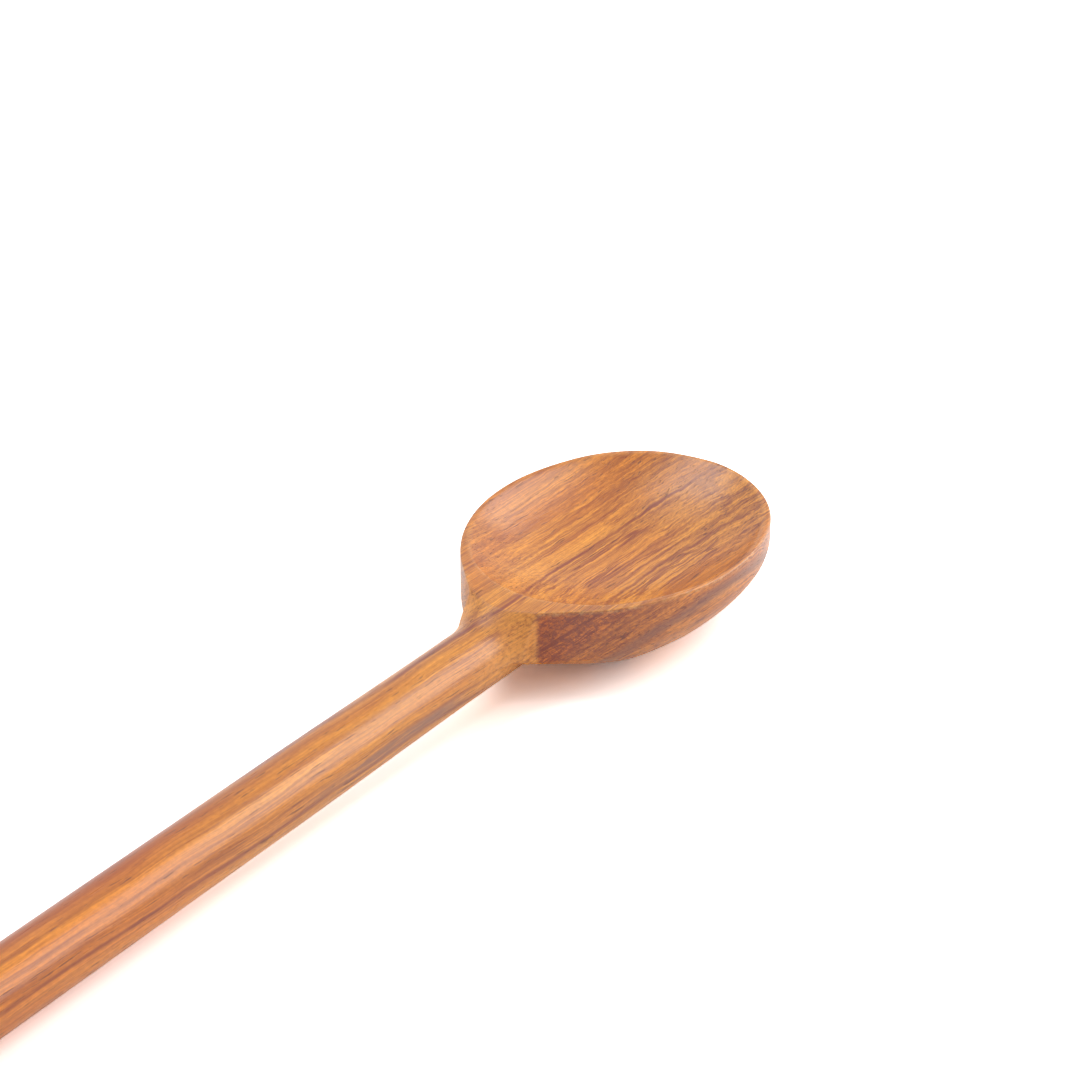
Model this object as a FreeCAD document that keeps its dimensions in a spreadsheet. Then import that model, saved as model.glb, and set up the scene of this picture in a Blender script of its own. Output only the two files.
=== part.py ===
import FreeCAD, Part
import os
from math import atan, cos, pi, radians, sin

import Sketcher
from FreeCAD import Placement, Rotation, Vector

# A wooden cooking spoon: a hollowed head with a bored neck, and a turned handle glued into it by its tenon.
# Millimetres. X runs along the spoon to the tip of the head and Z is up. The spoon lies on the plane Z = 0
# with the foot under its head and with the end of its handle.

doc = FreeCAD.newDocument("WoodenSpoon")

# Driving dimensions. Places along the spoon are measured from the tip of the head.
sizes = {
    "total_length": 300.0,
    "head_height": 19.4,
    "bowl_width": 55.0,
    "widest_from_tip": 33.4,
    "front_side_radius": 44.0,
    "rear_side_radius": 41.0,
    "flank_angle": 48.0,
    "neck_block_width": 15.6,
    "neck_corner_radius": 1.0,
    "hull_length": 135.6,
    "hull_width": 107.8,
    "hull_height": 132.6,
    "hull_center_from_tip": 38.0,
    "foot_cut": 0.25,
    "chine_radius": 5.0,
    "cove_radius": 12.0,
    "cove_behind_corner": 9.8,
    "neck_diameter": 12.1,
    "neck_overlap": 0.05,
    "neck_run_in": 6.4,
    "neck_length": 2.8,
    "neck_axis_height": 10.75,
    "side_rim": 1.0,
    "tip_rim": 1.0,
    "hollow_flank_share": 0.3,
    "hollow_depth": 9.5,
    "hollow_center_rise": 16.0,
    "lip_radius": 0.3,
    "handle_diameter": 12.5,
    "handle_taper_length": 48.0,
    "handle_end_radius": 4.5,
    "tenon_diameter": 7.5,
    "tenon_length": 14.0,
    "tenon_chamfer": 0.8,
    "glue_gap": 0.06,
    "socket_end_gap": 0.4,
    "cut_overrun": 4.0,
    "edge_margin": 0.05,
}

sheet = doc.addObject("Spreadsheet::Sheet", "sizes")
for row, (alias, value) in enumerate(sizes.items(), start=1):
    sheet.set(f"A{row}", alias.replace("_", " "))
    sheet.set(f"B{row}", str(value))
    sheet.setAlias(f"B{row}", alias)
doc.recompute()

# Relations between the sizes, as the expressions that the features are bound to
tip = "sizes.total_length / 2"
side_rise = "(sizes.front_side_radius - sizes.bowl_width / 2)"
side_run = "(sizes.front_side_radius - sizes.widest_from_tip)"
# The tip's arc touches both front sides and ends at the tip
tip_radius = (
    f"(sizes.front_side_radius ^ 2 - sizes.widest_from_tip ^ 2 - {side_rise} ^ 2) / (2 * {side_run})"
)
# The corner where the straight flanks meet the neck block, and what is set out from it
flank_drop = "sizes.rear_side_radius * (1 - cos(sizes.flank_angle * 1 deg))"
flank_rise = f"(sizes.bowl_width / 2 - {flank_drop} - sizes.neck_block_width / 2)"
flank_run = f"{flank_rise} / tan(sizes.flank_angle * 1 deg)"
rear_run = "sizes.rear_side_radius * sin(sizes.flank_angle * 1 deg)"
flank_from_tip = f"(sizes.widest_from_tip + {rear_run})"
corner_from_tip = f"({flank_from_tip} + {flank_run})"
cove_from_tip = f"({corner_from_tip} + sizes.cove_behind_corner)"
shoulder_from_tip = f"({cove_from_tip} + sizes.neck_length)"
shoulder = f"{tip} - {shoulder_from_tip}"
handle_length = f"(sizes.total_length - {shoulder_from_tip})"
rest_length = f"({handle_length} - sizes.handle_end_radius)"
rest_reach = f"sqrt({rest_length} ^ 2 + (sizes.handle_diameter / 2) ^ 2)"
# The handle slopes so that its underside meets the table where its rounded end begins
slope = f"asin(sizes.neck_axis_height / {rest_reach}) - atan(sizes.handle_diameter / 2 / {rest_length})"
# The hollow keeps its rim at the sides and the tip, and ends partway along the flanks
hollow_width = "(sizes.bowl_width - 2 * sizes.side_rim)"
hollow_length = f"({flank_from_tip} + sizes.hollow_flank_share * {flank_run} - sizes.tip_rim)"
hollow_center_from_tip = f"(sizes.tip_rim + {hollow_length} / 2)"
hollow_spread = "sqrt(1 - (sizes.hollow_center_rise / (sizes.hollow_depth + sizes.hollow_center_rise)) ^ 2)"


def value_of(expression):
    return float(sheet.evalExpression(expression))


def bind(feature, **expressions):
    # A double underscore in a name stands for the dot of a property path
    for path, expression in expressions.items():
        feature.setExpression(path.replace("__", "."), expression)


def new_sketch(body, name, role):
    sketch = body.newObject("Sketcher::SketchObject", name)
    plane = next(item for item in body.Origin.OriginFeatures if item.Role == role)
    sketch.AttachmentSupport = [(plane, "")]
    sketch.MapMode = "FlatFace"
    return sketch


def rule(sketch, expression, *constraint):
    index = sketch.addConstraint(Sketcher.Constraint(*constraint))
    if expression:
        sketch.setExpression(f"Constraints[{index}]", expression)


def draw(sketch, points, arcs=None):
    # A closed ring of edges through the points; arcs maps an edge's number to the point it bulges through
    arcs = arcs or {}
    count = len(points)
    for index, start in enumerate(points):
        end = points[(index + 1) % count]
        if index in arcs:
            edge = Part.Arc(Vector(*start, 0), Vector(*arcs[index], 0), Vector(*end, 0))
        else:
            edge = Part.LineSegment(Vector(*start, 0), Vector(*end, 0))
        sketch.addGeometry(edge, False)


def close_ring(sketch, smooth=()):
    # Joins the edges end to end; the joints after the edges named in smooth are tangent
    count = sketch.GeometryCount
    for index in range(count):
        kind = "Tangent" if index in smooth else "Coincident"
        rule(sketch, None, kind, index, 2, (index + 1) % count, 1)


def place_on_handle_axis(sketch):
    # The sketch's horizontal axis becomes the handle's axis, counted from the shoulder towards the tip
    sketch.AttachmentOffset = Placement(Vector(), Rotation(Vector(0, 0, 1), value_of(slope)))
    bind(
        sketch,
        AttachmentOffset__Base__x=shoulder,
        AttachmentOffset__Base__y="sizes.neck_axis_height",
        AttachmentOffset__Rotation__Angle=slope,
    )


def draw_shaft(sketch, start, end, radius):
    # Half the section of a plain round shaft along the sketch's horizontal axis
    x_start, x_end, y_top = value_of(start), value_of(end), value_of(radius)
    draw(sketch, [(x_start, 0), (x_end, 0), (x_end, y_top), (x_start, y_top)])
    close_ring(sketch)
    rule(sketch, None, "PointOnObject", 0, 1, -1)
    rule(sketch, None, "Horizontal", 0)
    rule(sketch, None, "Vertical", 1)
    rule(sketch, None, "Horizontal", 2)
    rule(sketch, None, "Vertical", 3)
    if x_start:
        rule(sketch, start, "DistanceX", -1, 1, 0, 1, x_start)
    else:
        rule(sketch, None, "PointOnObject", 0, 1, -2)
    rule(sketch, end, "DistanceX", -1, 1, 0, 2, x_end)
    rule(sketch, radius, "DistanceY", 1, 1, 1, 2, y_top)


def turn(body, kind, name, sketch):
    feature = body.newObject(kind, name)
    feature.Profile = sketch
    feature.ReferenceAxis = (sketch, ["H_Axis"])
    feature.Angle = 360
    return feature


def round_edges(body, name, base, edges, radius):
    # Rounds the edges of the base's shape, given by their numbers
    fillet = body.newObject("PartDesign::Fillet", name)
    fillet.Base = (base, [f"Edge{number}" for number in edges])
    bind(fillet, Radius=radius)


def edge_numbers(shape, wanted):
    return [number for number, edge in enumerate(shape.Edges, start=1) if wanted(edge)]


def borders(edge, shape, surface):
    # Whether the edge borders a face of the shape that has the given kind of surface
    faces = [face for face in shape.Faces if surface in face.Surface.TypeId]
    return any(edge.isSame(other) for face in faces for other in face.Edges)


# Form of the underside: a large ellipsoid that the table cuts to a small flat foot
underside = doc.addObject("PartDesign::Body", "underside_form")
hull = underside.newObject("PartDesign::AdditiveEllipsoid", "hull")
# Half a turn brings the ellipsoid's seam to the neck
hull.Placement = Placement(Vector(), Rotation(Vector(0, 0, 1), 180))
bind(
    hull,
    Radius1="sizes.hull_height / 2",
    Radius2="sizes.hull_length / 2",
    Radius3="sizes.hull_width / 2",
    Placement__Base__x=f"{tip} - sizes.hull_center_from_tip",
    Placement__Base__z="sizes.hull_height / 2 - sizes.foot_cut",
)
doc.recompute()

# Bowl: a blank sawn to the head's outline
bowl = doc.addObject("PartDesign::Body", "bowl")
bowl.Label = "bowl"
outline = new_sketch(bowl, "outline", "XY_Plane")

tip_x = value_of(tip)
tip_arc = value_of(tip_radius)
half_width = sizes["bowl_width"] / 2
block_half = sizes["neck_block_width"] / 2
front_radius = sizes["front_side_radius"]
rear_radius = sizes["rear_side_radius"]
flank = radians(sizes["flank_angle"])
widest_x = tip_x - sizes["widest_from_tip"]
block_x = tip_x - value_of(cove_from_tip)
front_turn = atan((tip_x - tip_arc - widest_x) / (front_radius - half_width))


def side_point(radius, angle):
    # A point on the side arc of the given radius, at an angle from the widest place towards the tip
    return widest_x + radius * sin(angle), half_width - radius + radius * cos(angle)


def mirrored(point):
    return point[0], -point[1]


flank_end = side_point(rear_radius, -flank)
flank_start = (tip_x - value_of(corner_from_tip), block_half)
widest = (widest_x, half_width)
front_end = side_point(front_radius, front_turn)
half_ring = [(block_x, block_half), flank_start, flank_end, widest, front_end]
ring = [half_ring[0]] + [mirrored(point) for point in half_ring] + half_ring[:0:-1]
rear_bulge = side_point(rear_radius, -flank / 2)
front_bulge = side_point(front_radius, front_turn / 2)
draw(
    outline,
    ring,
    {
        3: mirrored(rear_bulge),
        4: mirrored(front_bulge),
        5: (tip_x, 0),
        6: front_bulge,
        7: rear_bulge,
    },
)
close_ring(outline, smooth=(2, 3, 4, 5, 6, 7))
rule(outline, None, "Symmetric", 0, 1, 0, 2, -1)
rule(outline, f"{tip} - {cove_from_tip}", "DistanceX", -1, 1, 0, 1, block_x)
rule(outline, "sizes.neck_block_width", "DistanceY", 0, 2, 0, 1, sizes["neck_block_width"])
rule(outline, None, "Horizontal", 1)
rule(outline, None, "Horizontal", 9)
rule(outline, "-sizes.flank_angle", "Angle", 2, -flank)
rule(outline, None, "Equal", 2, 8)
rule(outline, None, "Symmetric", 3, 2, 6, 2, -1)
rule(outline, f"{tip} - sizes.widest_from_tip", "DistanceX", -1, 1, 6, 2, widest_x)
rule(outline, "sizes.bowl_width", "DistanceY", 3, 2, 6, 2, sizes["bowl_width"])
rule(outline, None, "Vertical", 3, 3, 3, 2)
rule(outline, None, "Vertical", 7, 3, 7, 1)
rule(outline, "sizes.rear_side_radius", "Radius", 3, rear_radius)
rule(outline, None, "Equal", 3, 7)
rule(outline, "sizes.front_side_radius", "Radius", 4, front_radius)
rule(outline, None, "Equal", 4, 6)
rule(outline, tip_radius, "Radius", 5, tip_arc)

blank = bowl.newObject("PartDesign::Pad", "blank")
blank.Profile = outline
bind(blank, Length="sizes.head_height")
doc.recompute()

# How closely an edge is looked for
margin = sizes["edge_margin"]


def in_neck_corner(edge):
    # The upright edges where the flanks meet the neck block
    box = edge.BoundBox
    return box.ZLength > margin and abs(box.Center.x - flank_start[0]) < margin


corner_edges = edge_numbers(blank.Shape, in_neck_corner)
round_edges(bowl, "neck_corners", blank, corner_edges, "sizes.neck_corner_radius")
doc.recompute()

# The blank rounded below
rounded = bowl.newObject("PartDesign::Boolean", "rounded")
rounded.Type = "Common"
rounded.setObjects([underside])
doc.recompute()


def on_chine(edge):
    # The walls' lower edges, on the underside but off its foot, its seam and the end of the neck block
    box = edge.BoundBox
    above_foot = box.ZMax > margin
    off_seam = max(box.YMax, -box.YMin) > margin
    off_end = box.XLength > margin
    return above_foot and off_seam and off_end and borders(edge, rounded.Shape, "BSpline")


chine_edges = edge_numbers(rounded.Shape, on_chine)
round_edges(bowl, "chine", rounded, chine_edges, "sizes.chine_radius")
doc.recompute()

# A turned cove trims the neck block to the round of the neck
cove_outline = new_sketch(bowl, "cove_outline", "XZ_Plane")
place_on_handle_axis(cove_outline)
cove_x = sizes["neck_length"]
cove_radius = sizes["cove_radius"]
neck_radius = sizes["neck_diameter"] / 2 - sizes["neck_overlap"]
cove_end = (cove_x + cove_radius, neck_radius + cove_radius)
cove_back = cove_x - sizes["cut_overrun"]
cove_bulge = (cove_end[0] - cove_radius * (1 - sin(pi / 4)), cove_end[1] - cove_radius * cos(pi / 4))
draw(
    cove_outline,
    [
        (cove_back, neck_radius),
        (cove_x, neck_radius),
        cove_end,
        (cove_end[0], half_width),
        (cove_back, half_width),
    ],
    {1: cove_bulge},
)
close_ring(cove_outline, smooth=(0, 1))
for edge in (0, 3):
    rule(cove_outline, None, "Horizontal", edge)
for edge in (2, 4):
    rule(cove_outline, None, "Vertical", edge)
rule(cove_outline, "sizes.neck_length", "DistanceX", -1, 1, 0, 2, cove_x)
rule(cove_outline, "sizes.neck_diameter / 2 - sizes.neck_overlap", "DistanceY", -1, 1, 0, 2, neck_radius)
rule(cove_outline, "sizes.cut_overrun", "DistanceX", 0, 1, 0, 2, sizes["cut_overrun"])
rule(cove_outline, "sizes.cove_radius", "Radius", 1, cove_radius)
rule(cove_outline, "sizes.bowl_width / 2", "DistanceY", -1, 1, 2, 2, half_width)
turn(bowl, "PartDesign::Groove", "cove", cove_outline)
doc.recompute()

# The round neck runs on under the head until the underside covers it
neck_outline = new_sketch(bowl, "neck_outline", "XZ_Plane")
place_on_handle_axis(neck_outline)
neck_end = "sizes.neck_length + sizes.cove_behind_corner + sizes.neck_run_in"
draw_shaft(neck_outline, "0 mm", neck_end, "sizes.neck_diameter / 2")
turn(bowl, "PartDesign::Revolution", "neck", neck_outline)
doc.recompute()

# The hollow is part of an ellipsoid whose centre lies above the rim
hollow = bowl.newObject("PartDesign::SubtractiveEllipsoid", "hollow")
bind(
    hollow,
    Radius1="sizes.hollow_depth + sizes.hollow_center_rise",
    Radius2=f"{hollow_length} / 2 / {hollow_spread}",
    Radius3=f"{hollow_width} / 2 / {hollow_spread}",
    Placement__Base__x=f"{tip} - {hollow_center_from_tip}",
    Placement__Base__z="sizes.head_height + sizes.hollow_center_rise",
)
doc.recompute()

# The socket for the handle's tenon
socket_outline = new_sketch(bowl, "socket_outline", "XZ_Plane")
place_on_handle_axis(socket_outline)
draw_shaft(
    socket_outline,
    "-sizes.cut_overrun",
    "sizes.tenon_length + sizes.socket_end_gap",
    "sizes.tenon_diameter / 2 + sizes.glue_gap",
)
socket = turn(bowl, "PartDesign::Groove", "socket", socket_outline)
doc.recompute()


def on_lip(edge):
    # The inner and outer edges of the rim, but not those of the cove
    box = edge.BoundBox
    on_rim = box.ZMin > sizes["head_height"] - margin
    off_cove_end = box.XLength > margin
    return on_rim and off_cove_end and not borders(edge, socket.Shape, "Toroid")


lip_edges = edge_numbers(socket.Shape, on_lip)
round_edges(bowl, "lip", socket, lip_edges, "sizes.lip_radius")
doc.recompute()

# Handle: turned in one, with its tenon at the shoulder; its own X axis is the handle's axis
handle = doc.addObject("PartDesign::Body", "handle")
handle.Label = "handle"
handle.Placement = Placement(Vector(), Rotation(Vector(0, -1, 0), value_of(slope)))
bind(
    handle,
    Placement__Base__x=shoulder,
    Placement__Base__z="sizes.neck_axis_height",
    Placement__Rotation__Angle=slope,
)
turning = new_sketch(handle, "turning", "XZ_Plane")
tenon_radius = sizes["tenon_diameter"] / 2
tenon_length = sizes["tenon_length"]
tenon_chamfer = sizes["tenon_chamfer"]
shoulder_radius = sizes["neck_diameter"] / 2
handle_radius = sizes["handle_diameter"] / 2
taper_end = -sizes["handle_taper_length"]
end_radius = sizes["handle_end_radius"]
handle_end = -value_of(handle_length)
rest = -value_of(rest_length)
end_bulge = (rest - end_radius * sin(pi / 4), handle_radius - end_radius * (1 - cos(pi / 4)))
draw(
    turning,
    [
        (tenon_length, 0),
        (tenon_length, tenon_radius - tenon_chamfer),
        (tenon_length - tenon_chamfer, tenon_radius),
        (0, tenon_radius),
        (0, shoulder_radius),
        (taper_end, handle_radius),
        (rest, handle_radius),
        (handle_end, handle_radius - end_radius),
        (handle_end, 0),
    ],
    {6: end_bulge},
)
close_ring(turning, smooth=(5, 6))
for edge in (0, 3, 7):
    rule(turning, None, "Vertical", edge)
for edge in (2, 5):
    rule(turning, None, "Horizontal", edge)
rule(turning, None, "PointOnObject", 0, 1, -1)
rule(turning, None, "PointOnObject", 7, 2, -1)
rule(turning, None, "PointOnObject", 3, 1, -2)
rule(turning, "sizes.tenon_length", "DistanceX", -1, 1, 0, 1, tenon_length)
rule(turning, "sizes.tenon_diameter / 2", "DistanceY", -1, 1, 3, 1, tenon_radius)
rule(turning, "sizes.tenon_chamfer", "DistanceX", 1, 2, 1, 1, tenon_chamfer)
rule(turning, "sizes.tenon_chamfer", "DistanceY", 1, 1, 1, 2, tenon_chamfer)
rule(turning, "sizes.neck_diameter / 2", "DistanceY", -1, 1, 3, 2, shoulder_radius)
rule(turning, "sizes.handle_taper_length", "DistanceX", 4, 2, 4, 1, -taper_end)
rule(turning, "sizes.handle_diameter / 2", "DistanceY", -1, 1, 4, 2, handle_radius)
rule(turning, handle_length, "DistanceX", 7, 2, -1, 1, -handle_end)
rule(turning, "sizes.handle_end_radius", "Radius", 6, end_radius)
turn(handle, "PartDesign::Revolution", "turned_handle", turning)
doc.recompute()

for item in doc.Objects:
    if "Invalid" in item.State or "Error" in item.State:
        raise RuntimeError(f"{item.Name} failed: {item.State}")

os.makedirs("parts", exist_ok=True)
for body in (bowl, handle):
    shape = body.Shape
    if shape.isNull() or not shape.isValid() or len(shape.Solids) != 1:
        raise RuntimeError(f"{body.Label} is not one valid solid")
    shape.exportStep(f"parts/{body.Label}.step")
    box = shape.optimalBoundingBox()
    reach = f"X {box.XMin:.2f} to {box.XMax:.2f}, Z {box.ZMin:.2f} to {box.ZMax:.2f}"
    print(f"{body.Label}: {shape.Volume:.0f} mm3, {reach}")
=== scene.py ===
import math

import bmesh
import bpy
import numpy as np
from mathutils import Matrix, Vector


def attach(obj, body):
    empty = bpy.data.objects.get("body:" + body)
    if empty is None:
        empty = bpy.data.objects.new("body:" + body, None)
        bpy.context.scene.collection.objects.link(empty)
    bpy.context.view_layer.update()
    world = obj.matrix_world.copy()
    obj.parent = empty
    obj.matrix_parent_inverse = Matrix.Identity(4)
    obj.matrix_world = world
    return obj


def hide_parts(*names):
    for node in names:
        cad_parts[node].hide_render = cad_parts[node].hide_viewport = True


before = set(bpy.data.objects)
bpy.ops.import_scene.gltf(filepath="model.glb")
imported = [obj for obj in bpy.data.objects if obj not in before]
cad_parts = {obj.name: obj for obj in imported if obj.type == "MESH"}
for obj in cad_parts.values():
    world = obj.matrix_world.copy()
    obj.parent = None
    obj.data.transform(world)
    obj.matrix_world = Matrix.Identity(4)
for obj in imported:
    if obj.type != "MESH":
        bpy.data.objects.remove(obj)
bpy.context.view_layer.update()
print("frame loaded:", ", ".join(sorted(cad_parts)))

mm = 0.001
noLimit = 1e3       # mm, more than any size here
tiny = 1e-6         # keeps divisions away from zero

# all sizes in mm, X along the spoon to the tip, z = 0 is the table
# a pair is a range of X, unless its note says what it is
head = {
    "tip": 150.0,
    "height": 19.4,
    "halfWidth": 27.5,
    "widest": 116.6,                    # X of the widest place
    "frontRadius": 44.0,                # side arcs of the outline, in plan
    "rearRadius": 41.0,
    "flankAngle": 48.0,                 # straight flanks down to the neck block
    "blockHalf": 7.8,
    "blockEase": 0.25,                  # how softly the flanks run into the block
    "hullRadii": (67.8, 53.9, 66.3),    # ellipsoid of the underside
    "hullCenter": (112.0, 66.05),       # its X and Z
    "chine": (1.0, 8.0, 4.0),           # round between wall and underside: neck, middle, tip
    "chineGrows": (82, 108),
    "chineShrinks": (112, 136),
    "heel": 0.8,                        # the underside lies this much higher by the neck
    "heelStarts": (79, 85),
    "heelEnds": (86, 100),
    "neckBelow": 90,                    # X up to which the round neck shows from below
    "ceiling": 3,                       # the block's underside rises at most this far above the axis
    "ceilingRises": (74, 79),
    "ceilingEnds": 84,
    "lipOuter": (0.35, 0.7),            # round of the rim's outer edge, at the neck and further on
    "lipGrows": (90, 125),
    "lipInner": 0.4,
    "lipShare": (0.6, 0.38, 0.42),      # most of the rim for the outer and inner round, and of the block
    "lipRoll": 2.2,                     # the hollow's depth is eased in over this many inner rounds
    "lipEase": (0.35, 0.65),            # steep and gentle part of that easing
    "hollowRadii": (32.36, 26.7),       # half length and half width at the rim
    "hollowCenter": 116.84,
    "hollowDepth": 9.5,
    "hollowRise": 16.0,                 # its ellipsoid's centre lies this far above the rim
    "coveStart": 70.81,
    "coveRadius": 12.0,
    "coveReach": 6.5,                   # closer sections over this length
    "coveSharp": 60,                    # how sharp the cove's edge is
    "neckUntil": 79,                    # up to here nothing lies within the neck's radius
    "squareUntil": (70, 75),            # sections lean from square to the handle to square to X
    "unevenFrom": (72, 84),
    "unevenAbove": (1, 6),              # heights over which it grows
    "sideWave": (0.004, 38, 1),         # handwork: share of the width, wave length, seed
    "topWave": (0.07, 17, 2),           # handwork: depth, wave length, seed
    "drawnIn": 0.003,                   # keeps the waves inside the outline
    "wornSheenFade": 0.35,                   # pale wear and painted highlight along the rim's edges
    "wornSheenInner": 0.6,
    "wornSheenBelow": (1.1, 0.5),            # under the rim
    "wornSheenFrom": (79, 82),
}

# sections along X, and points of a half section
headRows = {
    "neck": 5,
    "cove": 24,
    "block": 50,
    "hollow": 200,
    "tip": 26,
    "crowd": (0.7, 0.3),                # shares of sections spaced closer at the hollow's ends, and evenly
    "under": 58,
    "wall": 15,
    "lip": 7,
    "flat": 9,
    "bowl": 46,
    "bowlCrowd": 1.25,
}

stick = {
    "shoulder": 68.008,
    "axisHeight": 10.75,                # at the shoulder
    "slope": 1.208,                     # degrees down to the free end
    "neckRadius": 6.05,
    "gripRadius": 6.25,
    "taper": 48.0,
    "length": 218.008,
    "endRadius": 4.5,
    "tenonRadius": 3.75,
    "tenonLength": 14.0,
    "tenonChamfer": 0.8,
    "socketRadius": 3.81,
    "socketDepth": 14.4,
    "wave": (0.004, 55, 3),             # handwork: share of the radius, wave length, seed
    "waveRadius": 6,
    "waveFrom": (4, 30),                # from the shoulder
    "waveUntil": (205, 213),
    "around": 128,                      # points and rows
    "taperRows": 40,
    "gripRows": 120,
    "endRows": 14,
}

# sine waves of the handwork
ripples = {
    "count": 5,
    "seedTurn": 1.7,                    # radians
    "turn": 2.399,
    "upTurn": 1.9,
    "shift": 11,                        # mm
    "pitch": (0.7, 0.17),               # first one and step
    "peak": 3.2,
}

# mm and degrees
meshing = {"merge": 0.004, "dissolve": 0.002, "sharp": 50}

slope = math.radians(stick["slope"])


def smooth(a, b, t):
    # 0 below a, 1 above b, a cubic ease between
    s = np.clip((t - a) / (b - a), 0, 1)
    return s * s * (3 - 2 * s)


def softMin(a, b, sharp):
    # smaller of two lengths, with the corner between them rounded: power mean of order -sharp
    a = np.maximum(a, tiny)
    b = np.maximum(b, tiny)
    low = np.minimum(a, b)
    return low * ((a / low) ** -sharp + (b / low) ** -sharp) ** (-1 / sharp)


def ripple(x, y, z, size, seed):
    # slow unevenness between -1 and 1: a few sine waves in fixed directions, wave length about size
    r = ripples
    k = 2 * np.pi / size
    first, step = r["pitch"]
    total = 0
    for n in range(r["count"]):
        a = seed * r["seedTurn"] + n * r["turn"]
        way = x * np.cos(a) + y * np.sin(a) + z * np.cos(a * r["upTurn"])
        total = total + np.sin(k * (way + r["shift"] * n) * (first + step * n))
    return total / r["peak"]


def axisZ(x):
    # height of the handle's axis: a straight line through the shoulder
    return stick["axisHeight"] + (x - stick["shoulder"]) * math.tan(slope)


def arcRise(radius, run):
    # height of a circle above its centre, at a distance run from it
    return np.sqrt(np.maximum(radius ** 2 - run ** 2, 0))


def planOutline(x, y):
    # half width of the head at x, and the distance in plan from (x, y) in to the outline:
    # a tip arc, two side arcs and a straight flank, each tangent to the next, then the neck block
    h = head
    run = h["tip"] - h["widest"]
    half, front, rear = h["halfWidth"], h["frontRadius"], h["rearRadius"]
    tipRadius = (front ** 2 - run ** 2 - (front - half) ** 2) / (2 * (front - run))
    tipX = h["tip"] - tipRadius
    joinX = h["widest"] + front * (tipX - h["widest"]) / math.hypot(tipX - h["widest"], front - half)
    angle = math.radians(h["flankAngle"])
    flankX = h["widest"] - rear * math.sin(angle)
    flankY = half - rear + rear * math.cos(angle)
    tipHalf = arcRise(tipRadius, x - tipX)
    frontHalf = half - front + arcRise(front, x - h["widest"])
    rearHalf = half - rear + arcRise(rear, x - h["widest"])
    flankHalf = flankY + (x - flankX) * math.tan(angle)
    ease = h["blockEase"]
    blockHalf = h["blockHalf"] + ease * np.logaddexp(0, (flankHalf - h["blockHalf"]) / ease)
    zones = [x > joinX, x > h["widest"], x > flankX]
    wide = np.select(zones, [tipHalf, frontHalf, rearHalf], blockHalf)
    inward = np.select(
        [np.broadcast_to(zone, y.shape) for zone in zones],
        [
            tipRadius - np.hypot(x - tipX, y),
            front - np.hypot(x - h["widest"], y - half + front),
            rear - np.hypot(x - h["widest"], y - half + rear),
        ],
        (wide - y) * math.cos(angle),
    )
    return wide, np.maximum(inward, 0)


def hullZ(x, y):
    # underside: the lower half of a large ellipsoid, cut flat by the table
    a, b, c = head["hullRadii"]
    inside = 1 - ((x - head["hullCenter"][0]) / a) ** 2 - (y / b) ** 2
    return np.maximum(head["hullCenter"][1] - c * np.sqrt(np.maximum(inside, 0)), 0)


def undersideZ(x, y, inward):
    # underside with the round of the chine added near the outline, joined with the round neck
    h = head
    neckEnd, middle, tipEnd = h["chine"]
    radius = neckEnd + (middle - neckEnd) * smooth(*h["chineGrows"], x)
    radius = radius + (tipEnd - middle) * smooth(*h["chineShrinks"], x)
    near = np.clip(1 - inward / radius, 0, 1)
    heel = h["heel"] * smooth(*h["heelStarts"], x) * (1 - smooth(*h["heelEnds"], x))
    z = hullZ(x, y) + heel + radius * (1 - np.sqrt(np.maximum(1 - near ** 2, 0)))
    r = stick["neckRadius"]
    neck = np.where(y < r, axisZ(x) - arcRise(r, y), noLimit)
    neck = np.where(x < h["neckBelow"], neck, noLimit)
    z = np.minimum(z, neck)
    ceiling = axisZ(x) + h["ceiling"] * smooth(*h["ceilingRises"], x)
    return np.where(x < h["ceilingEnds"], np.minimum(z, ceiling), z)


def hollowEdge(x):
    # half width of the hollow's mouth, an ellipse in the rim's plane
    a, b = head["hollowRadii"]
    return b * np.sqrt(np.maximum(1 - ((x - head["hollowCenter"]) / a) ** 2, 0))


def hollowZ(x, y):
    # part of an ellipsoid whose centre lies above the rim
    a, b = head["hollowRadii"]
    deep = head["hollowDepth"] + head["hollowRise"]
    spread = math.sqrt(1 - (head["hollowRise"] / deep) ** 2)
    inside = 1 - ((x - head["hollowCenter"]) * spread / a) ** 2 - (y * spread / b) ** 2
    return head["height"] + head["hollowRise"] - deep * np.sqrt(np.maximum(inside, 0))


def stations():
    # X of the sections, closer together at the cove, at both ends of the hollow and at the tip
    a = head["hollowRadii"][0]
    low, high = head["hollowCenter"] - a, head["hollowCenter"] + a
    cove = head["coveStart"]
    coveEnd = cove + head["coveReach"]
    crowd, even = headRows["crowd"]
    t = np.linspace(0, 1, headRows["hollow"])
    span = head["hollowCenter"] - a * (crowd * np.cos(np.pi * t) + even * (1 - 2 * t))
    left = 1 - np.linspace(0, 1, headRows["tip"])
    parts = [
        np.linspace(stick["shoulder"], cove, headRows["neck"])[:-1],
        np.linspace(cove, coveEnd, headRows["cove"])[:-1],
        np.linspace(coveEnd, low, headRows["block"])[:-1],
        span[:-1],
        head["tip"] - (head["tip"] - high) * left ** 2,
    ]
    return np.concatenate(parts)[:, None]


def steps(count):
    # even steps up to 1 as a row, without the 0 that the rows before end with
    return np.linspace(0, 1, count)[None, 1:]


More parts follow.
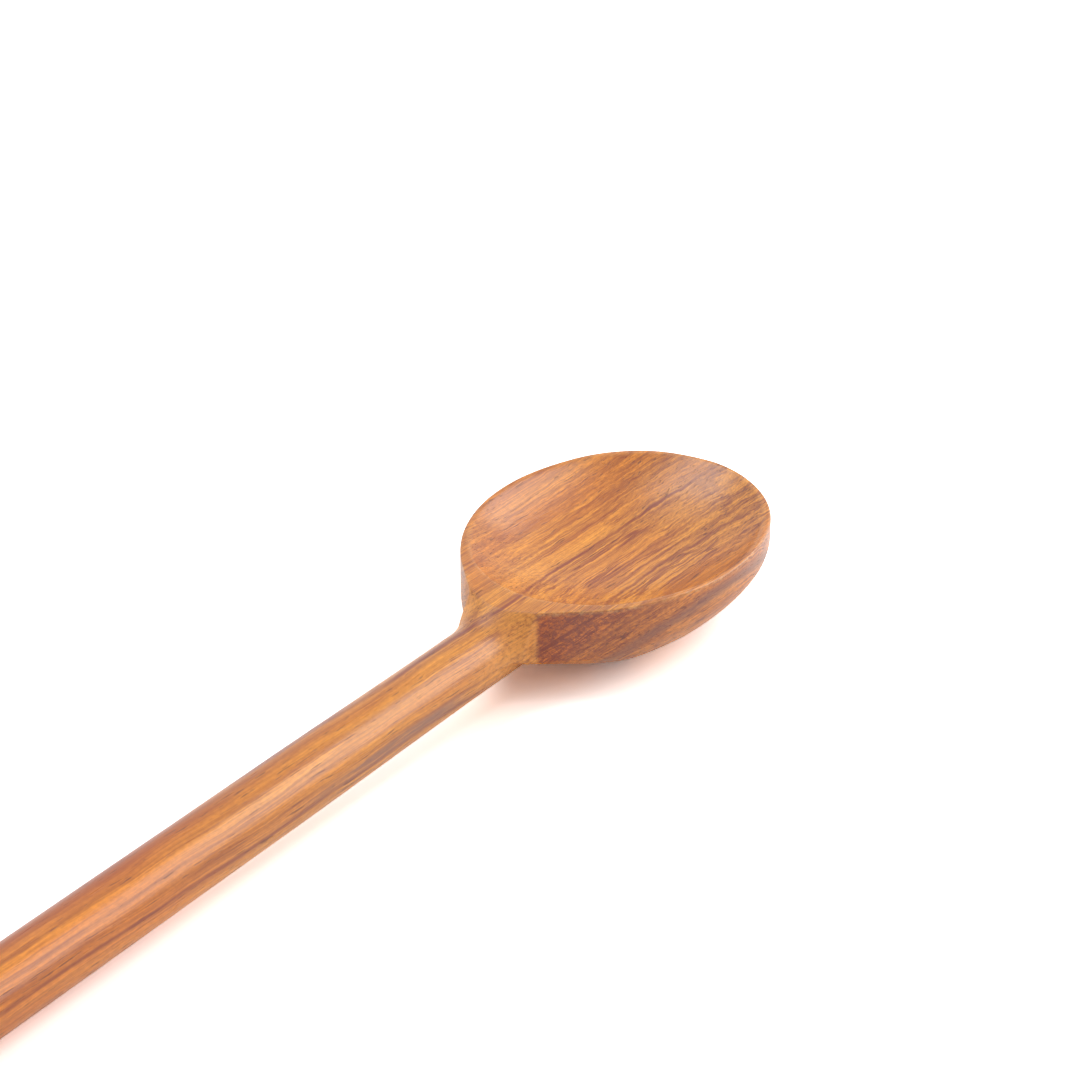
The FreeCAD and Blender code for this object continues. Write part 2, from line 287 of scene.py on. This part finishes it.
def halfSection():
    # half of every section as one array: the underside, up the wall, over the rim and down the hollow
    x = stations()
    top = head["height"]
    u = np.linspace(0, 1, headRows["under"])[None, :]
    wide = planOutline(x, np.zeros_like(x))[0]
    y = wide * (1 - (1 - u) ** 2)
    under = np.stack([y, undersideZ(x, y, planOutline(x, y)[1])], -1)
    foot = under[:, -1:, 1]

    edge = hollowEdge(x)
    rim = np.maximum(wide - edge, 0)
    outerShare, innerShare, blockShare = head["lipShare"]
    byNeck, further = head["lipOuter"]
    outer = byNeck + (further - byNeck) * smooth(*head["lipGrows"], x)
    outer = np.minimum(outer, np.where(edge > 0, outerShare * rim, blockShare * wide))
    inner = np.minimum(head["lipInner"], innerShare * rim)

    v = steps(headRows["wall"])
    wall = np.stack([wide + 0 * v, foot + (top - outer - foot) * v], -1)
    q = steps(headRows["lip"]) * np.pi / 2
    lip = np.stack([wide - outer * (1 - np.cos(q)), top - outer * (1 - np.sin(q))], -1)
    v = steps(headRows["flat"])
    start = wide - outer
    stop = np.where(edge > 0, np.minimum(edge + inner, start), 0)
    flat = np.stack([start + (stop - start) * v, top + 0 * v * x], -1)

    # the lip rolls over into the hollow: the depth is eased in over the inner round
    v = steps(headRows["bowl"])
    y = stop * (1 - v) ** headRows["bowlCrowd"]
    depth = np.maximum(top - hollowZ(x, y), 0)
    into = np.sqrt(np.clip((stop - y) / np.maximum(head["lipRoll"] * inner, tiny), 0, 1))
    steep, gentle = head["lipEase"]
    depth = np.where(edge > 0, depth * into * (steep + gentle * into), 0)
    bowlRows = np.stack([y, top - depth], -1)
    return x, np.concatenate([under, wall, lip, flat, bowlRows], 1)


def coveTrim(x, section):
    # turned cove: points are drawn in to the cove's radius about the handle's axis, never below the neck
    r, rc = stick["neckRadius"], head["coveRadius"]
    run = np.clip(x - head["coveStart"], 0, rc)
    cove = np.where(x > head["coveStart"] + rc, noLimit, r + rc - arcRise(rc, run))
    y, z = section[..., 0], section[..., 1] - axisZ(x)
    far = np.maximum(np.hypot(y, z), tiny)
    near = np.where(cove < noLimit, softMin(far, cove, head["coveSharp"]), far)
    near = np.where(x < head["neckUntil"], np.maximum(near, r), near)
    near = np.where(x <= head["coveStart"], r, near)
    return np.stack([y * near / far, axisZ(x) + z * near / far], -1)


def makeMesh(name, grid, closeRows=True):
    # a grid of stations by rows becomes quads; doubled points at seams and poles are merged
    n, m, _ = grid.shape
    i, j = np.meshgrid(np.arange(n - 1), np.arange(m if closeRows else m - 1), indexing="ij")
    k = (j + 1) % m
    quads = np.stack([i * m + j, i * m + k, (i + 1) * m + k, (i + 1) * m + j], -1).reshape(-1, 4)
    mesh = bpy.data.meshes.new(name)
    mesh.from_pydata((grid.reshape(-1, 3) * mm).tolist(), [], quads.tolist())
    bm = bmesh.new()
    bm.from_mesh(mesh)
    bmesh.ops.remove_doubles(bm, verts=bm.verts, dist=meshing["merge"] * mm)
    bmesh.ops.dissolve_degenerate(bm, edges=bm.edges, dist=meshing["dissolve"] * mm)
    bm.to_mesh(mesh)
    bm.free()
    mesh.polygons.foreach_set("use_smooth", np.ones(len(mesh.polygons), bool))
    mesh.set_sharp_from_angle(angle=math.radians(meshing["sharp"]))
    mesh.update()
    piece = bpy.data.objects.new(name, mesh)
    bpy.context.collection.objects.link(piece)
    return piece


def ringAbout(s, radius, angle):
    # circles about the handle's sloping axis, s counted from the shoulder to the free end
    ux, uz = -math.cos(slope), -math.sin(slope)
    y = radius * np.cos(angle)
    up = radius * np.sin(angle)
    x = stick["shoulder"] + s * ux + up * uz + 0 * y
    z = stick["axisHeight"] + s * uz - up * ux + 0 * y
    return np.stack([x, y, z], -1)


def headGrid():
    # outside and hollow of the head as one closed grid that starts at the bottom of the socket
    x, half = halfSection()
    half = coveTrim(x, half)
    y, z = half[..., 0], half[..., 1]
    lean = math.tan(slope) * (1 - smooth(*head["squareUntil"], x))
    along = x + 0 * y - (z - axisZ(x)) * lean
    right = np.stack([along, y, z], -1)
    left = right[:, -2:0:-1] * np.array([1, -1, 1])
    skin = np.concatenate([right, left], 1)

    # hand-made unevenness, none at the shoulder and the table
    sx, sy, sz = skin[..., 0], skin[..., 1], skin[..., 2]
    free = smooth(*head["unevenFrom"], sx)
    share, size, seed = head["sideWave"]
    sideways = (1 + share * free * ripple(sx, sy, sz, size, seed)) * (1 - head["drawnIn"] * free)
    skin[..., 1] = sy * sideways
    depth, size, seed = head["topWave"]
    down = depth * (1 + ripple(sx, skin[..., 1], sz, size, seed))
    skin[..., 2] = sz - free * down * smooth(*head["unevenAbove"], sz)

    # socket for the tenon: the same rows as circles
    first = skin[0]
    angle = np.arctan2(first[:, 2] - stick["axisHeight"], first[:, 1])[None, :]
    deep, bore = stick["socketDepth"], stick["socketRadius"]
    s = np.array([-deep, -deep, -deep / 2, 0, 0])[:, None]
    radius = np.array([0, bore, bore, bore, (bore + stick["neckRadius"]) / 2])[:, None]
    return np.concatenate([ringAbout(s, radius, angle), skin], 0)


def handleGrid():
    # a turned profile of radius along the axis: tenon, shoulder, slim taper, straight grip, rounded end
    k = stick
    neck, grip, tenon, chamfer = k["neckRadius"], k["gripRadius"], k["tenonRadius"], k["tenonChamfer"]
    end = np.linspace(0, np.pi / 2, k["endRows"])[1:]
    rest = k["length"] - k["endRadius"]
    taperS = np.linspace(0, k["taper"], k["taperRows"])
    gripS = np.linspace(k["taper"], rest, k["gripRows"])[1:]
    s = np.concatenate([
        [-k["tenonLength"], -k["tenonLength"], -k["tenonLength"] + chamfer, 0, 0],
        taperS,
        gripS,
        rest + k["endRadius"] * np.sin(end),
        [k["length"]],
    ])[:, None]
    radius = np.concatenate([
        [0, tenon - chamfer, tenon, tenon, (tenon + neck) / 2],
        neck + (grip - neck) * smooth(0, 1, taperS / k["taper"]),
        grip + 0 * gripS,
        grip - k["endRadius"] * (1 - np.cos(end)),
        [0],
    ])[:, None]
    angle = np.linspace(0, 2 * np.pi, k["around"], endpoint=False)[None, :]
    share, size, seed = k["wave"]
    uneven = ripple(s, k["waveRadius"] * np.cos(angle), k["waveRadius"] * np.sin(angle), size, seed)
    uneven = uneven * smooth(*k["waveFrom"], s) * (1 - smooth(*k["waveUntil"], s))
    return ringAbout(s, radius * (1 - share * (1 + uneven) / 2), -angle)


def markWornAndSheen(piece):
    # how near each point lies to the rim's two edges, for their wear and painted highlight: 1 on an edge,
    # fading as a bell curve
    mesh = piece.data
    at = np.empty(len(mesh.vertices) * 3, np.float32)
    mesh.vertices.foreach_get("co", at)
    x, y, z = (at.reshape(-1, 3) / mm).astype(float).T
    a, b = head["hollowRadii"]
    u, v = (x - head["hollowCenter"]) / a, y / b
    inner = (np.hypot(u, v) - 1) * np.hypot(u, v) / np.maximum(np.hypot(u / a, v / b), tiny)
    outer = planOutline(x, np.abs(y))[1]
    bells = [np.exp(-(edge / head["wornSheenFade"]) ** 2) for edge in (inner, outer)]
    low, high = head["wornSheenBelow"]
    wornAndSheen = np.maximum(head["wornSheenInner"] * bells[0], bells[1])
    wornAndSheen = wornAndSheen * smooth(head["height"] - low, head["height"] - high, z) * smooth(*head["wornSheenFrom"], x)
    mesh.attributes.new("wornAndSheen", "FLOAT", "POINT").data.foreach_set("value", wornAndSheen.astype(np.float32))


bowl = makeMesh("bowl_surface", headGrid())
markWornAndSheen(bowl)
handle = makeMesh("handle_surface", handleGrid())
for piece, node in ((bowl, "bowl"), (handle, "handle")):
    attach(piece, "root")
    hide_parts(node)
    print(piece.name, len(piece.data.polygons), "faces")

wood = {
    "light": (0.95, 0.40, 0.058),
    "mid": (0.85, 0.31, 0.042),
    "dark": (0.24, 0.048, 0.024),
    "pore": (0.10, 0.032, 0.016),
    "stainAndShade": (0.21, 0.095, 0.078),      # grey-brown: painted shade in a band low along the head's near chine, and a real stain layer on the handle
    "neck": (0.95, 0.40, 0.085),        # painted light on the cove and sides round the neck
    "wornAndSheen": (0.90, 0.50, 0.20),         # edges of the rim: wear and painted highlight
    "sawn": (0.84, 0.56, 0.56),         # tint of the near walls by the neck: end grain, and painted shade, since only the near side gets it
    "held": (0.94, 0.80, 0.70),         # tint of the handle's further part
    "rust": (0.34, 0.06, 0.008),        # red layers along its top, fewer towards the neck
    "tilt": 42.3,                       # degrees that the growth layers lean about X
    "heart": 11.0,                      # palest layer, mm
    "rings": (13.4, 12.5, 9.7, 6.8, 4.6, 3.0, -1.6, 17.1, 18.4, 19.8, 22.6, 24.5),    # dark layers, mm
    "ringDepth": (1.0, 0.5, 0.35, 0.5, 0.45, 0.8, 0.5, 0.4, 0.45, 0.4, 0.4, 0.35),
    "shadeAndStainAt": (-6.0, 3.8),             # painted shade on the head and stain on the handle, mm
    "noiseMean": 0.5,
    "waveHeight": 2.4,                  # mm that the layers wave, slowly and finely
    "fineHeight": 0.55,
    "waveMean": 1.47,                   # taken off again, so that the layers stay where they are named
    "lineDepth": (0.34, 0.85, 0.40, 0.95),    # sheets, thin lines, hairs and rings
    "poreLimit": 0.70,
    "poreMore": -0.10,                  # more pores in dark lines
    "poreDeep": -0.8,                   # against the height of the fibres
    "roughness": 0.30,
    "fibreGloss": (0.16, -0.08),        # roughness with the fibres' height, and what keeps its mean
    "coveDull": 0.20,
    "poreDull": 0.15,
    "specular": 0.62,
    "bumpStrength": 0.25,
    "bumpHeight": 0.12,                 # mm
}

# noises of the wood: changes per mm along the fibres, across and through the layers; detail; roughness
patterns = {
    "wave": ((0.018, 0.045, 0.045), 2.0, 0.5),
    "fine": ((0.07, 0.22, 0.22), 2.0, 0.5),
    "curl": ((0.28, 0.40, 0.40), 2.0, 0.5),
    "broken": ((0.06, 0.3, 0.9), 3.0, 0.6),
    "tone": ((0.012, 0.05, 0.20), 2.0, 0.5),
    "sheet": ((0.015, 0.06, 0.78), 2.0, 0.4),
    "close": ((0.022, 0.12, 1.2), 2.0, 0.5),
    "faded": ((0.03, 0.2, 0.3), 3.0, 0.6),
    "hair": ((0.03, 0.2, 2.9), 2.0, 0.5),
    "fibre": ((0.12, 2.2, 3.0), 3.0, 0.65),
    "dashes": ((0.18, 1.5, 3.2), 2.0, 0.5),
    "mottle": ((0.9, 1.6, 1.6), 3.0, 0.6),
    "chips": ((0.9, 0.9, 0.9), 3.0, 0.7),
}

# eased steps: from, to, and the values there where they aren't 0 and 1
ramps = {
    "curlAlong": (80.0, 135.0, 0.15, 0.8),
    "ring": (0.06, 0.55, 1.0, 0.0),
    "broken": (0.32, 0.58, 0.40, 1.0),
    "tone": (0.36, 0.64),
    "heart": (3.0, 14.0, 0.40, -0.40),
    "sheetRise": (0.30, 0.50),
    "sheetDrop": (0.50, 0.54, 1.0, 0.0),
    "quiet": (50.0, 85.0, 0.45, 1.0),
    "thin": (0.0, 0.065, 1.0, 0.0),
    "faded": (0.36, 0.58),
    "thinHigh": (12.5, 16.0, 1.0, 0.55),
    "hair": (0.0, 0.07, 1.0, 0.0),
    "fibre": (0.32, 0.66, 0.38, 0.0),
    "mottle": (0.35, 0.65, 0.20, 0.0),
    "chineShade": (0.2, 1.5, 0.65, 0.0),
    "stainHandle": (0.2, 1.3, 0.80, 0.0),
    "stainStart": (14.0, 32.0),
    "stainEnd": (54.0, 66.0, 1.0, 0.0),
    "stainBroken": (0.34, 0.52, 0.45, 1.0),
    "held": (-22.0, 12.0, 1.0, 0.0),
    "rustLayers": (9.2, 11.8, 0.0, 0.75),
    "rustFewer": (-22.0, 25.0, 1.0, 0.3),
    "rustEnd": (48.0, 66.0, 1.0, 0.0),
    "rustFar": (0.6, 0.95, 1.0, 0.2),
    "speck": (0.0, 0.05, 0.0, 0.6),
    "steep": (0.25, 0.75, 1.0, 0.0),
    "sawnStart": (80.2, 81.4),
    "sawnLess": (84.0, 104.0, 1.0, 0.6),
    "sawnEnd": (118.0, 146.0, 1.0, 0.0),
    "sawnNear": (-0.2, 0.2, 1.0, 0.0),
    "sawnLow": (-2.0, 0.8, 0.4, 1.0),
    "sawnMottle": (0.38, 0.58, 0.75, 0.0),
    "neckLightStart": (62.0, 74.0),
    "neckLightEnd": (80.2, 81.4, 1.0, 0.0),
    "neckLightSide": (0.55, 0.9, 1.0, 0.0),
    "neckLightMottle": (0.35, 0.60, 0.15, 0.55),
    "chips": (0.42, 0.70, 0.10, 0.60),
    "dullStart": (72.0, 77.0),
    "dullEnd": (82.0, 86.0, 1.0, 0.0),
}


class Nodes:
    # short hand for wiring a material
    mixIn = (0, 6, 7)       # factor and the two colours of a colour mix
    mixOut = 2

    def __init__(self, holder):
        holder.use_nodes = True
        self.tree = holder.node_tree
        self.tree.nodes.clear()

    def add(self, kind, **values):
        node = self.tree.nodes.new(kind)
        for name, value in values.items():
            setattr(node, name, value)
        return node

    def put(self, socket, value):
        if isinstance(value, bpy.types.NodeSocket):
            self.tree.links.new(value, socket)
        else:
            socket.default_value = value

    def math(self, operation, *values, clamp=False):
        node = self.add("ShaderNodeMath", operation=operation, use_clamp=clamp)
        for socket, value in zip(node.inputs, values):
            self.put(socket, value)
        return node.outputs[0]

    def times(self, first, *others):
        for other in others:
            first = self.math("MULTIPLY", first, other)
        return first

    def away(self, value, center):
        return self.math("ABSOLUTE", self.math("SUBTRACT", value, center))

    def split(self, vector):
        node = self.add("ShaderNodeSeparateXYZ")
        self.put(node.inputs[0], vector)
        return node.outputs

    def noise(self, vector, stretch, detail, rough):
        # noise drawn out along the fibres
        mapping = self.add("ShaderNodeMapping")
        self.put(mapping.inputs["Vector"], vector)
        self.put(mapping.inputs["Scale"], stretch)
        node = self.add("ShaderNodeTexNoise")
        self.put(node.inputs["Vector"], mapping.outputs[0])
        self.put(node.inputs["Scale"], 1.0)
        self.put(node.inputs["Detail"], detail)
        self.put(node.inputs["Roughness"], rough)
        return node.outputs["Fac"]

    def span(self, value, a, b, c=0.0, d=1.0, ease="SMOOTHSTEP"):
        node = self.add("ShaderNodeMapRange", interpolation_type=ease)
        names = ("Value", "From Min", "From Max", "To Min", "To Max")
        for name, v in zip(names, (value, a, b, c, d)):
            self.put(node.inputs[name], v)
        return node.outputs[0]

    def seen(self, plain, direct, mirrored):
        # a value by kind of ray: from the camera, in mirror images and through glass, or any other
        rays = self.add("ShaderNodeLightPath").outputs
        twice = self.math("ADD", rays["Is Glossy Ray"], rays["Is Transmission Ray"], clamp=True)
        value = self.span(twice, 0, 1, plain, mirrored, "LINEAR")
        return self.math("MAXIMUM", value, self.times(rays["Is Camera Ray"], direct))

    def blend(self, factor, a, b, kind="MIX"):
        node = self.add("ShaderNodeMix", data_type="RGBA", blend_type=kind)
        for index, value in zip(self.mixIn, (factor, a, b)):
            self.put(node.inputs[index], (*value, 1) if isinstance(value, tuple) else value)
        return node.outputs[self.mixOut]

    def finish(self, kind, shader):
        self.put(self.add(kind).inputs[0], shader.outputs[0])


def woodMaterial():
    # oiled hardwood: flat growth layers that the surfaces cut through, fibres along X, short dark pores
    material = bpy.data.materials.new("oiled_wood")
    n = Nodes(material)

    def ramp(value, name, ease="SMOOTHSTEP"):
        return n.span(value, *ramps[name], ease=ease)

    # millimetres, leaned so that Z runs through the layers
    leaned = n.add("ShaderNodeMapping", vector_type="POINT")
    n.put(leaned.inputs["Vector"], n.add("ShaderNodeTexCoord").outputs["Object"])
    n.put(leaned.inputs["Scale"], (1 / mm, 1 / mm, 1 / mm))
    n.put(leaned.inputs["Rotation"], (math.radians(wood["tilt"]), 0, 0))
    point = leaned.outputs[0]
    along, across, within = n.split(point)
    facing = n.split(n.add("ShaderNodeTexCoord").outputs["Normal"])

    # grain space: X along the fibres, Z across the layers, which wave slowly along the stick
    layer = n.math("MULTIPLY_ADD", n.noise(point, *patterns["wave"]), wood["waveHeight"], within)
    layer = n.math("MULTIPLY_ADD", n.noise(point, *patterns["fine"]), wood["fineHeight"], layer)
    layer = n.math("SUBTRACT", layer, wood["waveMean"])
    curl = n.math("SUBTRACT", n.noise(point, *patterns["curl"]), wood["noiseMean"])
    layer = n.math("ADD", layer, n.times(curl, ramp(along, "curlAlong")))
    joined = n.add("ShaderNodeCombineXYZ")
    for socket, value in zip(joined.inputs, (along, across, layer)):
        n.put(socket, value)
    grain = joined.outputs[0]

    def pattern(name):
        return n.noise(grain, *patterns[name])

    # named dark layers, each a soft ridge of its own depth, broken up along its length
    rings = 0.0
    for center, depth in zip(wood["rings"], wood["ringDepth"]):
        ridge = n.times(ramp(n.away(layer, center), "ring"), depth)
        rings = n.math("MAXIMUM", rings, ridge)
    broken = pattern("broken")
    rings = n.times(rings, ramp(broken, "broken"))

    # sheets between them, drawn out along the fibres: each darkens towards one sharp edge
    quiet = ramp(along, "quiet")        # the handle is plainer
    heart = ramp(n.away(layer, wood["heart"]), "heart")
    tone = n.math("ADD", ramp(pattern("tone"), "tone"), n.times(heart, quiet), clamp=True)
    sheet = pattern("sheet")
    late = n.times(ramp(sheet, "sheetRise", "LINEAR"), ramp(sheet, "sheetDrop"))
    thin = ramp(n.away(pattern("close"), wood["noiseMean"]), "thin")
    thin = n.times(thin, ramp(pattern("faded"), "faded"), ramp(layer, "thinHigh"), quiet)
    hair = n.times(ramp(n.away(pattern("hair"), wood["noiseMean"]), "hair"), quiet)
    fibre = pattern("fibre")
    mottle = pattern("mottle")

    color = n.blend(tone, wood["mid"], wood["light"])
    for lines, depth in zip((late, thin, hair, rings), wood["lineDepth"]):
        color = n.blend(n.times(lines, depth), color, wood["dark"])
    color = n.blend(n.times(quiet, ramp(fibre, "fibre")), color, wood["dark"])
    color = n.blend(ramp(mottle, "mottle"), color, wood["dark"])

    # grey-brown: painted shade in a band along the head's near chine, and a stain on the handle only along
    # a part of it
    chineShadeAway, onHandle = (n.away(layer, place) for place in wood["shadeAndStainAt"])
    color = n.blend(ramp(chineShadeAway, "chineShade"), color, wood["stainAndShade"])
    reach = n.times(ramp(along, "stainStart"), ramp(along, "stainEnd"), ramp(broken, "stainBroken"))
    color = n.blend(n.times(reach, ramp(onHandle, "stainHandle")), color, wood["stainAndShade"])

    # the handle's further part is redder, most of all along its top
    tinted = n.blend(1.0, color, wood["held"], "MULTIPLY")
    color = n.blend(ramp(along, "held"), color, tinted)
    rust = n.times(ramp(along, "rustFewer"), ramp(along, "rustEnd"), ramp(layer, "rustLayers"))
    color = n.blend(n.times(rust, ramp(facing["Y"], "rustFar")), color, wood["rust"])

    # pores
    lined = n.math("MAXIMUM", rings, n.math("MAXIMUM", late, thin))
    limit = n.math("MULTIPLY_ADD", lined, wood["poreMore"], wood["poreLimit"])
    speck = ramp(n.math("SUBTRACT", pattern("dashes"), limit), "speck")
    color = n.blend(speck, color, wood["pore"])

    # the near sawn walls are darker, most of all where they cut across the fibres by the neck: partly end
    # grain, partly painted shade, as only walls facing the near side are darkened, far along the head,
    # with dark mottle
    sawn = n.times(ramp(along, "sawnStart"), ramp(along, "sawnLess"), ramp(along, "sawnEnd"))
    sawn = n.times(sawn, ramp(facing["Y"], "sawnNear"), ramp(layer, "sawnLow"))
    sawn = n.times(sawn, ramp(n.math("ABSOLUTE", facing["Z"]), "steep"))
    color = n.blend(sawn, color, n.blend(1.0, color, wood["sawn"], "MULTIPLY"))
    color = n.blend(n.times(sawn, ramp(mottle, "sawnMottle")), color, wood["dark"])

    # painted light: the cove and the sides round the neck made paler, mottled
    neckLight = n.times(ramp(along, "neckLightStart"), ramp(along, "neckLightEnd"), ramp(facing["Z"], "neckLightSide"))
    color = n.blend(n.times(neckLight, ramp(mottle, "neckLightMottle")), color, wood["neck"])

    # edges worn pale, with small chips, and a painted highlight along the rim
    wornAndSheen = n.add("ShaderNodeAttribute", attribute_name="wornAndSheen").outputs["Fac"]
    chips = ramp(n.noise(point, *patterns["chips"]), "chips")
    color = n.blend(n.times(wornAndSheen, chips), color, wood["wornAndSheen"])

    # the cove cuts across the fibres and is dull
    byFibre, mean = wood["fibreGloss"]
    gloss = n.math("MULTIPLY_ADD", fibre, byFibre, wood["roughness"] + mean)
    dull = n.times(ramp(along, "dullStart"), ramp(along, "dullEnd"))
    gloss = n.math("MULTIPLY_ADD", dull, wood["coveDull"], gloss)
    gloss = n.math("MULTIPLY_ADD", speck, wood["poreDull"], gloss)

    bump = n.add("ShaderNodeBump")
    n.put(bump.inputs["Strength"], wood["bumpStrength"])
    n.put(bump.inputs["Distance"], wood["bumpHeight"] * mm)
    n.put(bump.inputs["Height"], n.math("MULTIPLY_ADD", speck, wood["poreDeep"], fibre))
    shader = n.add("ShaderNodeBsdfPrincipled")
    n.put(shader.inputs["Base Color"], color)
    n.put(shader.inputs["Specular IOR Level"], wood["specular"])
    n.put(shader.inputs["Roughness"], gloss)
    n.put(shader.inputs["Normal"], bump.outputs[0])
    n.finish("ShaderNodeOutputMaterial", shader)
    return material


oiledWood = woodMaterial()
for piece in (bowl, handle):
    piece.data.materials.append(oiledWood)
print("wood done")

# metres, degrees and watts
studio = {
    "target": (0.102873, 0.008239, 0.0194),
    "azimuth": -52.4417,
    "elevation": 29.4286,
    "distance": 0.519037,
    "lens": 90.0,
    "sensor": 36.0,
    "clip": (0.01, 50.0),
    # direction from the target, distance, sides and power
    "keyLight": ((0.65, -0.53, 0.54), 1.1, (1.15, 0.98), 11.0),
    "topLight": ((-0.12, 0.45, 0.88), 1.3, (0.85, 0.85), 8.7),
    "world": 0.36,
    "worldSeen": 1.0,                   # by the camera and in mirror images
    "floorHalf": 6,
    "floorPoints": 9,
    "floorHeight": -0.00003,
    "floorColor": 0.9,
    "floorSeen": (2.0, 4.5),            # how brightly the camera sees it, here and far off
    "floorFar": (0.4, 3.0),
    "floorMirrored": 1.2,
}


def addCamera():
    # looks at the target from an azimuth about Z and an elevation
    k = studio
    a, e = math.radians(k["azimuth"]), math.radians(k["elevation"])
    back = Vector((math.sin(a) * math.cos(e), -math.cos(a) * math.cos(e), math.sin(e)))
    lens = bpy.data.cameras.new("camera")
    lens.lens = k["lens"]
    lens.sensor_width = k["sensor"]
    lens.clip_start, lens.clip_end = k["clip"]
    camera = bpy.data.objects.new("camera", lens)
    camera.location = Vector(k["target"]) + back * k["distance"]
    camera.rotation_euler = (-back).to_track_quat("-Z", "Y").to_euler()
    bpy.context.collection.objects.link(camera)
    bpy.context.scene.camera = camera


def addSoftbox(name, values):
    # a lamp that faces the target, its first side as far along the spoon as that allows
    direction, distance, size, power = values
    lamp = bpy.data.lights.new(name, "AREA")
    lamp.shape = "RECTANGLE"
    lamp.size, lamp.size_y = size
    lamp.energy = power
    box = bpy.data.objects.new(name, lamp)
    way = Vector(direction).normalized()
    side = (Vector((1, 0, 0)) - way * way.x).normalized()
    box.location = Vector(studio["target"]) + way * distance
    box.rotation_euler = Matrix((side, way.cross(side), way)).transposed().to_euler()
    bpy.context.collection.objects.link(box)


def addWorld():
    # white all round, brighter for the camera than as a light
    world = bpy.data.worlds.new("studio")
    bpy.context.scene.world = world
    n = Nodes(world)
    sky = n.add("ShaderNodeBackground")
    n.put(sky.inputs["Color"], (1, 1, 1, 1))
    n.put(sky.inputs["Strength"], n.seen(studio["world"], studio["worldSeen"], studio["worldSeen"]))
    n.finish("ShaderNodeOutputWorld", sky)


def addFloor():
    # a wide flat sheet, grid of two parameters
    k = studio
    u = np.linspace(-k["floorHalf"], k["floorHalf"], k["floorPoints"])
    gy, gx = np.meshgrid(u, u, indexing="ij")
    sheet = np.stack([gx, gy, np.full_like(gx, k["floorHeight"])], -1) / mm
    floor = makeMesh("floor", sheet, closeRows=False)
    paper = bpy.data.materials.new("white_paper")
    n = Nodes(paper)
    shade = n.add("ShaderNodeBsdfDiffuse")
    far = n.add("ShaderNodeVectorMath", operation="LENGTH")
    n.put(far.inputs[0], n.add("ShaderNodeTexCoord").outputs["Object"])
    bright = n.span(far.outputs["Value"], *k["floorFar"], *k["floorSeen"])
    n.put(shade.inputs["Color"], n.seen(k["floorColor"], bright, k["floorMirrored"]))
    n.finish("ShaderNodeOutputMaterial", shade)
    floor.data.materials.append(paper)


addCamera()
addSoftbox("key_light", studio["keyLight"])
addSoftbox("top_light", studio["topLight"])
addWorld()
addFloor()
bpy.context.scene.view_settings.view_transform = "Standard"
print("studio done")
